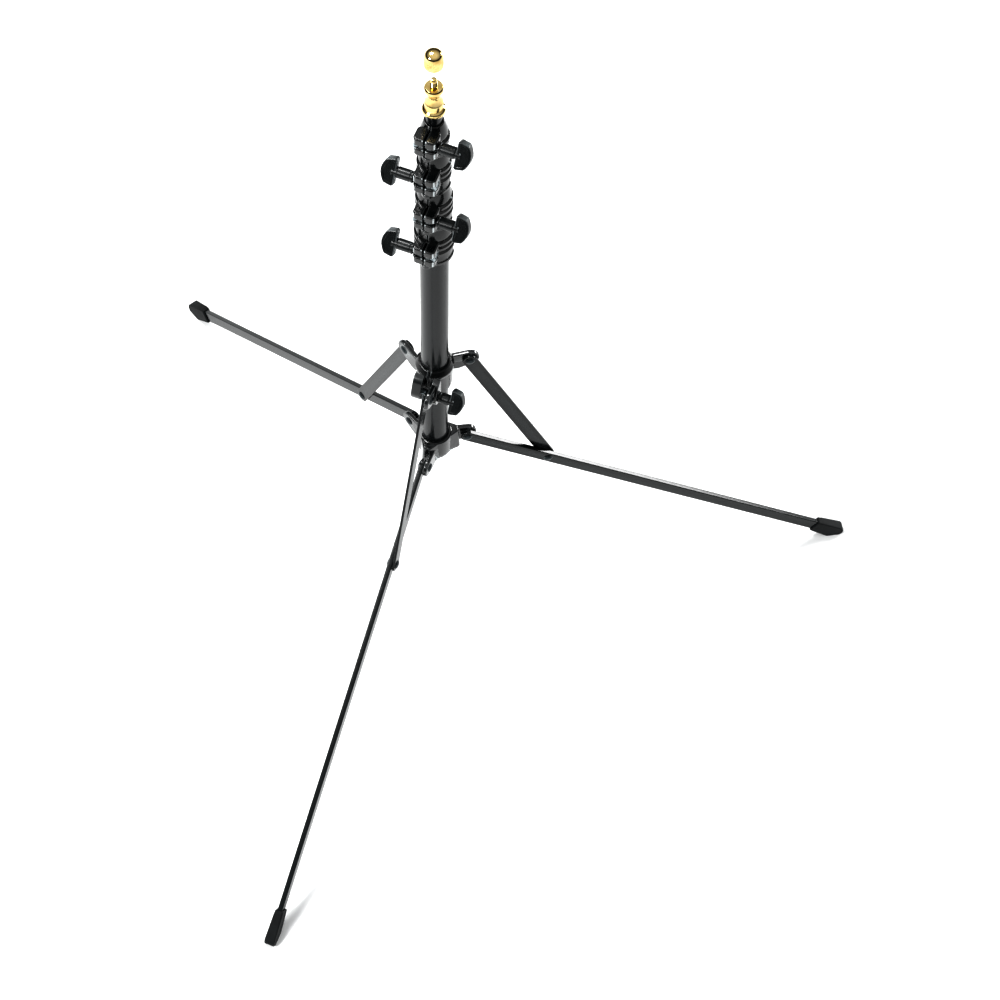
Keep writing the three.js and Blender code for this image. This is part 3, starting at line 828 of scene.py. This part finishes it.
@dataclass
class SpigotAndCap:
    """The turned brass spigot with its threaded stud, and the knurled cap that is lifted off it."""

    bottom: float = 828.5
    flange: float = 10.0
    body: float = 8.0
    waist: float = 5.6
    stud: float = 3.1
    shank: float = 5.4
    cap_bottom: float = 889.0
    cap_radius: float = 8.0
    skirt: float = 12.7
    dome: float = 5.0
    bore: float = 3.5
    flutes: int = 34
    flute_depth: float = 0.5

    def spigot(self) -> bmesh.types.BMesh:
        """The spigot: shank, flange, body, waist for a clamp screw, collar and threaded stud.

        Returns:
            The closed shape.
        """
        z = self.bottom
        stud = thread(self.stud, z + 33.5, z + 43, 1.27)[2:]
        profile = [
            (0, z - 25), (self.shank - 0.5, z - 25), (self.shank, z - 24.5), (self.shank, z),
            (self.flange - 2.2, z),
            (self.flange - 0.7, z + 1.0), (self.flange, z + 2.4), (self.flange, z + 4.6),
            (self.flange - 0.4, z + 5.6), (self.flange - 1.3, z + 6.3), (self.body, z + 6.8),
            (self.body, z + 13.2), (self.body - 0.3, z + 14.2), (self.body - 1, z + 15.0),
            (self.waist + 0.6, z + 18.4), (self.waist, z + 19.8), (self.waist, z + 22.6),
            (self.waist + 0.6, z + 24.0), (self.body - 0.9, z + 28.0), (self.body, z + 29.4),
            (self.body, z + 32.4), (self.body - 0.8, z + 33.5), (self.stud - 0.7, z + 33.5), *stud,
        ]
        return soften(lathe(profile, 96), 0.12, 2, 32.0)

    def cap(self) -> bmesh.types.BMesh:
        """The cap: a straight knurl on its skirt, a domed top and a blind bore.

        Returns:
            The closed shape.
        """
        z, r = self.cap_bottom, self.cap_radius
        top = z + self.skirt
        turns = [math.radians(d) for d in (8, 16, 26, 36, 46, 56, 66, 76, 84)]
        dome = [((r - 0.45) * math.cos(a), top + self.dome * math.sin(a)) for a in turns]
        profile = [
            (0, z + 12), (self.bore, z + 10.5), (self.bore, z + 0.4), (self.bore + 0.4, z), (r - 0.7, z),
            (r - 0.3, z + 0.3), (r, z + 0.9), (r, z + 5.0), (r, top - 1.2), (r - 0.35, top - 0.5),
            (r - 0.45, top), *dome, (0, top + self.dome),
        ]
        shape = lathe(profile, self.flutes * 2)
        for vert in shape.verts:
            column = round(math.atan2(vert.co.y, vert.co.x) / math.pi * self.flutes)
            outer = math.hypot(vert.co.x, vert.co.y) > r - 0.1
            if column % 2 and outer and vert.co.z < top - 0.8:
                vert.co.x *= 1 - self.flute_depth / r
                vert.co.y *= 1 - self.flute_depth / r
        return shape

    def build(self) -> None:
        """Models both turned pieces."""
        deliver("spigot", "riser_4", TURNED_BRASS, [self.spigot()])
        deliver("spigot_cap", "cap", TURNED_BRASS, [self.cap()], crisp=False)


# ------------------------------------------------------------------ legs


@dataclass
class LegGeometry:
    """The sizes that the castings, legs and braces share, in each leg's own plane."""

    azimuths: tuple[float, ...] = (30.0, 150.0, 270.0)
    pitch: float = 36.14
    root: tuple[float, float] = (32.0, 299.1)
    ear: tuple[float, float] = (34.0, 430.0)
    pivot_along: float = 101.5
    pin: float = 2.4
    half: float = 2.5
    depth: float = 13.0
    wall: float = 1.2
    length: float = 492.0
    brace: tuple[float, float, float] = (3.0, 5.5, 7.0)
    hub_plate: tuple[float, float, float] = (3.0, 7.5, 9.5)
    ear_plate: tuple[float, float, float] = (5.9, 10.4, 9.5)

    def along(self, distance: float, off: float = 0.0) -> tuple[float, float]:
        """Finds a point in a leg's plane.

        Args:
            distance: How far it lies from the root pivot along the leg.
            off: How far it lies above the leg's centreline.

        Returns:
            Its radius from the column and its height.
        """
        a = math.radians(self.pitch)
        return (
            self.root[0] + distance * math.cos(a) + off * math.sin(a),
            self.root[1] - distance * math.sin(a) + off * math.cos(a),
        )

    def turn(self, n: int) -> Matrix:
        """Turns a shape from the first plane to leg n's."""
        return Matrix.Rotation(math.radians(self.azimuths[n]), 4, "Z")

    def ear_shape(
        self, pivot: tuple[float, float], plate: tuple[float, float, float], start: float, drop: float = 0.0,
    ) -> bmesh.types.BMesh:
        """An ear of a casting: a thick rounded arm that tapers to its pin.

        Args:
            pivot: Where the pin is.
            plate: Inner face, outer face and radius of the ear.
            start: Radius from the column at which the arm's round inner end is centred.
            drop: How far that inner end lies below the pin.

        Returns:
            The shape, drilled for its pin.
        """
        inner, outer, radius = plate
        outline = link_outline((start, pivot[1] - drop), pivot, radius, 18, radius + 2.0)
        arm = soften(upright_slab(outline, inner, outer), 1.1, 3, 50.0)
        return cut(arm, bar_y(self.pin + GAP, inner - 1, outer + 1, *pivot))


@dataclass
class BottomCasting:
    """The casting at the foot of the column, with an ear for each leg and the plug that closes the tube."""

    sizes: LegGeometry
    low: float = 286.0
    high: float = 316.0
    radius: float = 18.0
    corner_reach: float = 24.5
    corner_half: float = 3.6
    draft: float = 0.93
    scallop: float = 8.0
    foot: float = 9.0
    tube: float = 13.0
    tube_low: float = 290.0

    def hub(self) -> list[bmesh.types.BMesh]:
        """The hub: a three-cornered block under the legs, a raised rim, and scallops in its underside.

        Returns:
            The shells of the hub.
        """
        low, high = self.low, self.high
        corners = []
        for azimuth in self.sizes.azimuths:
            a = math.radians(azimuth)
            for across in (-self.corner_half, self.corner_half):
                corners.append((
                    self.corner_reach * math.cos(a) - across * math.sin(a),
                    self.corner_reach * math.sin(a) + across * math.cos(a),
                ))
        block = slab(corners, low, high)
        upper = [vert for vert in block.verts if vert.co.z > high - 1]
        bmesh.ops.scale(block, verts=upper, vec=(self.draft, self.draft, 1.0))
        soften(block, 1.6, 4, 25.0)
        rim = soften(lathe([
            (self.tube + GAP, low + 6), (self.radius - 1.5, low + 6), (self.radius - 1.5, high - 0.2),
            (self.radius - 2.6, high + 0.8), (self.tube + GAP, high + 0.8),
        ], 96), 0.4, 2)
        between = Matrix.Rotation(math.radians(60), 4, "Z")
        notches = []
        for n in range(3):
            bar = bar_y(self.scallop, -60, 60, 0, low - 4.5, 48)
            notches.append(moved(bar, self.sizes.turn(n) @ between))
        seat, bore = self.tube_low - GAP, self.tube + GAP
        room = lathe([
            (0, low - 1), (self.foot, low - 1), (self.foot, seat), (bore, seat), (bore, high + 2),
            (0, high + 2),
        ])
        return [cut(block, room, *notches), rim]

    def plug(self) -> bmesh.types.BMesh:
        """The nylon plug, dished underneath.

        Returns:
            The closed shape.
        """
        spout = self.tube - TubeStack.wall - GAP
        profile = [
            (0, self.tube_low - 0.8), (5.5, self.tube_low - 0.8), (6.2, self.tube_low - 2.5),
            (self.foot - GAP, self.tube_low - 2.5), (self.foot - GAP, self.tube_low + GAP),
            (spout, self.tube_low + GAP), (spout, self.tube_low + 6), (0, self.tube_low + 6),
        ]
        return soften(lathe(profile, 64), 0.3, 2)

    def build(self) -> None:
        """Models the casting and its plug."""
        shells = self.hub()
        for n in range(3):
            ear = self.sizes.ear_shape(self.sizes.root, self.sizes.hub_plate, 21.0, 1.5)
            shells.append(moved(ear, self.sizes.turn(n)))
        deliver("bottom_casting", "column", CAST_COLLAR, shells)
        deliver("column_plug", "column", TURNED_NYLON, [self.plug()])


@dataclass
class SlidingCollar:
    """The collar that slides on the base tube and carries the braces, clamped by its own knob."""

    sizes: LegGeometry
    low: float = 404.0
    high: float = 446.0
    radius: float = 18.5
    bore: float = 13.4
    slope: float = 32.0
    lugs: tuple[tuple[float, float], ...] = ((-12.7, -3.2), (5.9, 12.9))
    screw_y: float = -22.0
    screw_z: float = 420.0
    knob: PaddleKnob = field(default_factory=PaddleKnob)

    def sleeve(self) -> bmesh.types.BMesh:
        """The sleeve: rolled ends, a waist between them, a sloped underside and the slot that lets it close.

        Returns:
            The closed shape.
        """
        r, low, high = self.radius, self.low, self.high
        profile = [
            (self.bore, low), (r - 1.6, low), (r - 0.4, low + 0.8), (r - 0.2, low + 4.0), (r - 1.2, low + 6.0),
            (r - 1.2, high - 10.0), (r - 0.2, high - 8.0), (r - 0.2, high - 5.0), (r - 3.2, high),
            (self.bore, high),
        ]
        ring = soften(lathe(profile, 96), 0.35, 2)
        under = box((-60, -60, -80), (60, 60, 0))
        moved(under, Matrix.Translation((0, -r - 1, low)) @ Matrix.Rotation(math.radians(self.slope), 4, "X"))
        return cut(ring, box((-0.9, -r - 3, low - 1), (2.1, 2 - self.bore, high + 1)), under)

    def lug(self, n: int) -> bmesh.types.BMesh:
        """One hanging lug, thick and round-ended, drilled for the screw and on the left pocketed for the nut.

        Args:
            n: 0 for the left lug and 1 for the right.

        Returns:
            The closed shape.
        """
        start, end = self.lugs[n]
        outline = link_outline((15.0, 430.0), (19.0, self.screw_z), 11.0, 18)
        inside = [(max(x, 15.4), z) for x, z in outline]
        blank = soften(slab(self.plain(inside), start, end), 1.2, 3, 40.0)
        # The outline's X goes to -Y, its Y to Z, and the slab's own height to X.
        stand = Matrix(((0, 0, 1, 0), (-1, 0, 0, 0), (0, 1, 0, 0), (0, 0, 0, 1)))
        moved(blank, stand)
        bmesh.ops.recalc_face_normals(blank, faces=blank.faces)
        tools = [bar_x(self.knob.screw_radius + 0.4, -20, 20, self.screw_y, self.screw_z)]
        if n == 0:
            hole = hexagon(NUT_POCKET_FLATS, -start - NUT_THICKNESS - GAP, -start + 2)
            axis = Matrix.Translation((0, self.screw_y, self.screw_z)) @ ClampCollars.facing(-1)
            tools.append(moved(hole, axis))
        return cut(blank, *tools)

    @staticmethod
    def plain(outline: Outline) -> Outline:
        """Drops the points of an outline that repeat or lie in a straight vertical run.

        Args:
            outline: The corners in order.

        Returns:
            The corners that are left.
        """
        kept = [p for i, p in enumerate(outline) if math.dist(p, outline[i - 1]) > 0.05]
        size = len(kept)
        return [
            p for i, p in enumerate(kept)
            if not (kept[i - 1][0] == p[0] == kept[(i + 1) % size][0])
        ]

    def build(self) -> None:
        """Models the collar, its nut and its knob."""
        shells = [self.sleeve(), self.lug(0), self.lug(1)]
        for n in range(3):
            ear = self.sizes.ear_shape(self.sizes.ear, self.sizes.ear_plate, 21.0, 4.0)
            shells.append(moved(ear, self.sizes.turn(n)))
        deliver("sliding_collar", "slider", CAST_COLLAR, shells)
        nut = hexagon_nut(self.knob.screw_radius + GAP)
        floor = Matrix.Translation((0, 0, -self.lugs[0][0] - NUT_THICKNESS))
        seat = Matrix.Translation((0, self.screw_y, self.screw_z)) @ ClampCollars.facing(-1) @ floor
        deliver("sliding_collar_nut", "slider", ZINC_STEEL, [nut], seat)
        self.knob.build(
            "sliding_collar_knob", "sliding_collar_screw", "slider_knob", 1, self.screw_y, self.screw_z,
            (self.lugs[1][1] + GAP, 25.0, self.lugs[0][0] + 0.8),
        )


@dataclass
class FoldingLegs:
    """Three channel legs with rubber boots, their flat braces, and the pins and rivets that join them."""

    sizes: LegGeometry
    head_radius: float = 4.4
    head_height: float = 1.5
    boot: tuple[float, float, float, float] = (470.0, 508.0, 5.5, 9.5)
    neck: tuple[float, float] = (4.3, 8.0)

    def strip(self, start: float, end: float, under: float, over: float) -> Outline:
        """A rectangle in a leg's plane, from one distance along it to another."""
        return [self.sizes.along(x, y) for x, y in ((start, under), (end, under), (end, over), (start, over))]

    def leg(self) -> bmesh.types.BMesh:
        """A leg: a folded channel, closed above and open below, with a round end at its root.

        Returns:
            The closed shape.
        """
        s = self.sizes
        d = s.depth / 2
        nose = [(-x, -y) for x, y in arc((0, 0), d, -90, 90, 16)]
        outline = [s.along(x, y) for x, y in [*nose, (s.length, -d), (s.length, d)]]
        blank = soften(upright_slab(outline, -s.half, s.half), 0.8, 3, 60.0)
        trough = self.strip(-s.depth, s.length + 1, -s.depth, d - s.wall)
        tool = upright_slab(trough, s.wall - s.half, s.half - s.wall)
        holes = [bar_y(s.pin + GAP, -s.half - 1, s.half + 1, *s.along(x)) for x in (0.0, s.pivot_along)]
        return cut(blank, tool, *holes)

    def foot(self) -> list[bmesh.types.BMesh]:
        """A boot: flat-soled rubber that widens to the floor, with a socket for the channel.

        Returns:
            The shells of the boot.
        """
        s = self.sizes
        start, end, half, deep = self.boot
        end -= 0.15  # the rounded toe stays inside the solid one
        neck, neck_deep = self.neck
        d = s.depth / 2
        side = [
            (start, -neck_deep), (end - 9, -deep), (end, -deep), (end, deep - 5), (end - 2.4, deep - 1.6),
            (end - 6, deep), (start + 6, neck_deep + 0.6), (start, neck_deep),
        ]
        blank = upright_slab([s.along(x, y) for x, y in side], -half, half)
        near = Vector((s.along(start)[0], 0.0, s.along(start)[1]))
        heading = Vector((math.cos(math.radians(s.pitch)), 0.0, -math.sin(math.radians(s.pitch))))
        for vert in blank.verts:
            reach = min(max((vert.co - near).dot(heading) / 18.0, 0.0), 1.0)
            vert.co.y = math.copysign(neck + (half - neck) * reach, vert.co.y)
        soften(blank, 1.3, 4, 35.0)
        cuts = bmesh.ops.bisect_plane(
            blank, geom=[*blank.verts, *blank.edges, *blank.faces], plane_co=(0, 0, 0), plane_no=(0, 0, -1),
            clear_outer=True,
        )["geom_cut"]
        bmesh.ops.holes_fill(blank, edges=[e for e in cuts if isinstance(e, bmesh.types.BMEdge)], sides=0)
        bmesh.ops.recalc_face_normals(blank, faces=blank.faces)
        socket = self.strip(start - 2, s.length + GAP, -d - GAP, d + GAP)
        return [cut(blank, upright_slab(socket, -s.half - GAP, s.half + GAP))]

    def brace(self) -> bmesh.types.BMesh:
        """A brace: a flat strip with round ends and rolled edges, drilled at both.

        Returns:
            The closed shape.
        """
        s = self.sizes
        inner, outer, half = s.brace
        pivot = s.along(s.pivot_along)
        strip = soften(upright_slab(link_outline(s.ear, pivot, half, 20), inner, outer), 0.6, 3, 60.0)
        return cut(strip, *(bar_y(s.pin + GAP, inner - 1, outer + 1, *p) for p in (s.ear, pivot)))

    def pin(
        self, at: tuple[float, float], start: float, end: float, heads: tuple[bool, bool],
    ) -> bmesh.types.BMesh:
        """A pin along Y with a domed head outside each face that asks for one.

        Args:
            at: Radius and height of its axis.
            start: Where the shank starts.
            end: Where the shank ends.
            heads: Whether there is a head at the start and at the end.

        Returns:
            The closed shape.
        """
        r, p, h = self.head_radius, self.sizes.pin, self.head_height
        dome = [
            (0.0, h), (0.35 * r, 0.95 * h), (0.68 * r, 0.74 * h), (0.9 * r, 0.42 * h), (r, 0.12 * h), (r, 0.0),
        ]
        first = [(x, start - y) for x, y in dome] if heads[0] else [(0.0, start)]
        last = [(x, end + y) for x, y in reversed(dome)] if heads[1] else [(0.0, end)]
        shape = lathe([*first, (p, start), (p, end), *last], 40)
        return moved(shape, Matrix.Translation((at[0], 0, at[1])) @ ABOUT_Y)

    def build(self) -> None:
        """Models all three sides of the base."""
        s = self.sizes
        pivot = s.along(s.pivot_along)
        for n in range(3):
            k, turn = n + 1, s.turn(n)
            deliver(f"leg_{k}", f"leg_{k}", ENAMELLED_STEEL, [self.leg()], turn)
            deliver(f"foot_{k}", f"leg_{k}", MOULDED_RUBBER, self.foot(), turn)
            deliver(f"brace_{k}", f"brace_{k}", ENAMELLED_STEEL, [self.brace()], turn)
            both = (True, True)
            root = self.pin(s.root, -s.half - GAP, s.hub_plate[1] + GAP, both)
            ear = self.pin(s.ear, s.brace[0] - GAP, s.ear_plate[1] + GAP, both)
            leg_side = self.pin(pivot, -s.half - GAP, s.half, (True, False))
            brace_side = self.pin(pivot, s.brace[0] + 0.1, s.brace[1] + GAP, (False, True))
            deliver(f"leg_root_pin_{k}", "column", BLACKED_STEEL, [root], turn)
            deliver(f"brace_ear_pin_{k}", "slider", BLACKED_STEEL, [ear], turn)
            deliver(f"leg_rivet_{k}", f"leg_{k}", BLACKED_STEEL, [leg_side], turn)
            deliver(f"brace_rivet_{k}", f"brace_{k}", BLACKED_STEEL, [brace_side], turn)


# ------------------------------------------------------------------ studio


@dataclass
class Studio:
    """A plain pale floor, soft lamps and the camera.

    The column's foot is given in metres across, below and ahead of the lens.
    """

    azimuth: float = 19.50
    elevation: float = 60.62
    roll: float = -2.09
    lens: float = 104.26
    contrast_gamma: float = 0.68
    column_foot: tuple[float, float, float] = (-0.06913, 0.08671, 3.10257)
    middle: tuple[float, float, float] = (0.0, 0.1, 0.45)
    floor_drop: float = 0.0004

    def floor(self) -> None:
        """Lays a wide pale floor just under the feet."""
        shape = bmesh.new()
        bmesh.ops.create_grid(shape, x_segments=2, y_segments=2, size=25.0)
        bmesh.ops.translate(shape, verts=shape.verts, vec=(0, 0, -self.floor_drop))
        surface = bpy.data.objects.new("studio_floor", to_mesh(shape, "studio_floor"))
        material = bpy.data.materials.new("white_painted_floor")
        material.use_nodes = True
        tree = material.node_tree
        place = add_node(tree, "ShaderNodeTexCoord").outputs["Object"]
        clouds = {"Vector": place, "Scale": 0.8, "Detail": 1.0}
        noise = add_node(tree, "ShaderNodeTexNoise", clouds).outputs["Fac"]
        colour = Finish.mix(tree, noise, linear("f7f8f8"), linear("fbfbfb"))
        tree.links.new(colour, tree.nodes["Principled BSDF"].inputs["Base Color"])
        tree.nodes["Principled BSDF"].inputs["Roughness"].default_value = 0.9
        surface.data.materials.append(material)
        bpy.context.scene.collection.objects.link(surface)

    def lamp(self, name: str, place: tuple[float, float, float], size: float, power: float) -> None:
        """Hangs a square soft lamp that faces the middle of the stand.

        Args:
            name: The lamp's name.
            place: Where it hangs, in metres.
            size: Its width in metres.
            power: Its power in watts.
        """
        light = bpy.data.lights.new(name, "AREA")
        light.size, light.energy = size, power
        lamp = bpy.data.objects.new(name, light)
        lamp.location = place
        to_stand = Vector(self.middle) - Vector(place)
        lamp.rotation_euler = to_stand.to_track_quat("-Z", "Y").to_euler()
        bpy.context.scene.collection.objects.link(lamp)

    def camera(self) -> None:
        """Puts the camera where the column's foot and axis fall as they should in the frame."""
        a, e, r = (math.radians(v) for v in (self.azimuth, self.elevation, self.roll))
        back = Vector((math.sin(a) * math.cos(e), -math.cos(a) * math.cos(e), math.sin(e)))
        ahead = -back
        right = ahead.cross(Vector((0, 0, 1))).normalized()
        down = ahead.cross(right)
        across = right * math.cos(r) + down * math.sin(r)
        below = down * math.cos(r) - right * math.sin(r)
        x, y, z = self.column_foot
        data = bpy.data.cameras.new("camera")
        data.lens, data.sensor_width = self.lens, 36.0
        camera = bpy.data.objects.new("camera", data)
        turn = Matrix((across, -below, back)).transposed().to_4x4()
        camera.matrix_world = Matrix.Translation(column_axis() - (across * x + below * y + ahead * z)) @ turn
        bpy.context.scene.collection.objects.link(camera)
        bpy.context.scene.camera = camera

    def sky(self) -> None:
        """Sets a plain sky, bright overhead and dim at the horizon; the lens itself sees plain white."""
        world = bpy.data.worlds.new("studio_sky")
        world.use_nodes = True
        tree = world.node_tree
        up = add_node(tree, "ShaderNodeTexCoord").outputs["Generated"]
        height = add_node(tree, "ShaderNodeSeparateXYZ", {"Vector": up}).outputs["Z"]
        glow = add_node(
            tree, "ShaderNodeMapRange",
            {"Value": height, "From Min": 0.3, "From Max": 0.9, "To Min": 0.03, "To Max": 1.15},
        ).outputs["Result"]
        seen = add_node(tree, "ShaderNodeLightPath").outputs["Is Camera Ray"]
        strength = add_node(tree, "ShaderNodeMix", {"Factor": seen, "A": glow, "B": 1.0}).outputs["Result"]
        background = tree.nodes["Background"]
        background.inputs["Color"].default_value = linear("fbfcfc")
        tree.links.new(strength, background.inputs["Strength"])
        bpy.context.scene.world = world

    def build(self) -> None:
        """Sets up the floor, the lamps, the sky and the camera."""
        self.floor()
        self.lamp("key_lamp", (-1.3, -2.0, 2.4), 0.8, 88.0)
        self.lamp("rim_lamp", (1.9, 3.1, 0.95), 0.9, 72.0)
        self.lamp("top_lamp", (-0.9, 0.7, 2.8), 0.7, 52.0)
        self.sky()
        bpy.context.scene.view_settings.view_transform = "Standard"
        bpy.context.scene.view_settings.gamma = self.contrast_gamma
        self.camera()


def main() -> None:
    """Builds the stand around its frame."""
    logging.basicConfig(level=logging.INFO, format="%(name)s: %(message)s")
    sizes = LegGeometry()
    TubeStack().build()
    ClampCollars().build()
    SpigotAndCap().build()
    BottomCasting(sizes).build()
    SlidingCollar(sizes).build()
    FoldingLegs(sizes).build()
    Studio().build()


if __name__ == "__main__":
    main()
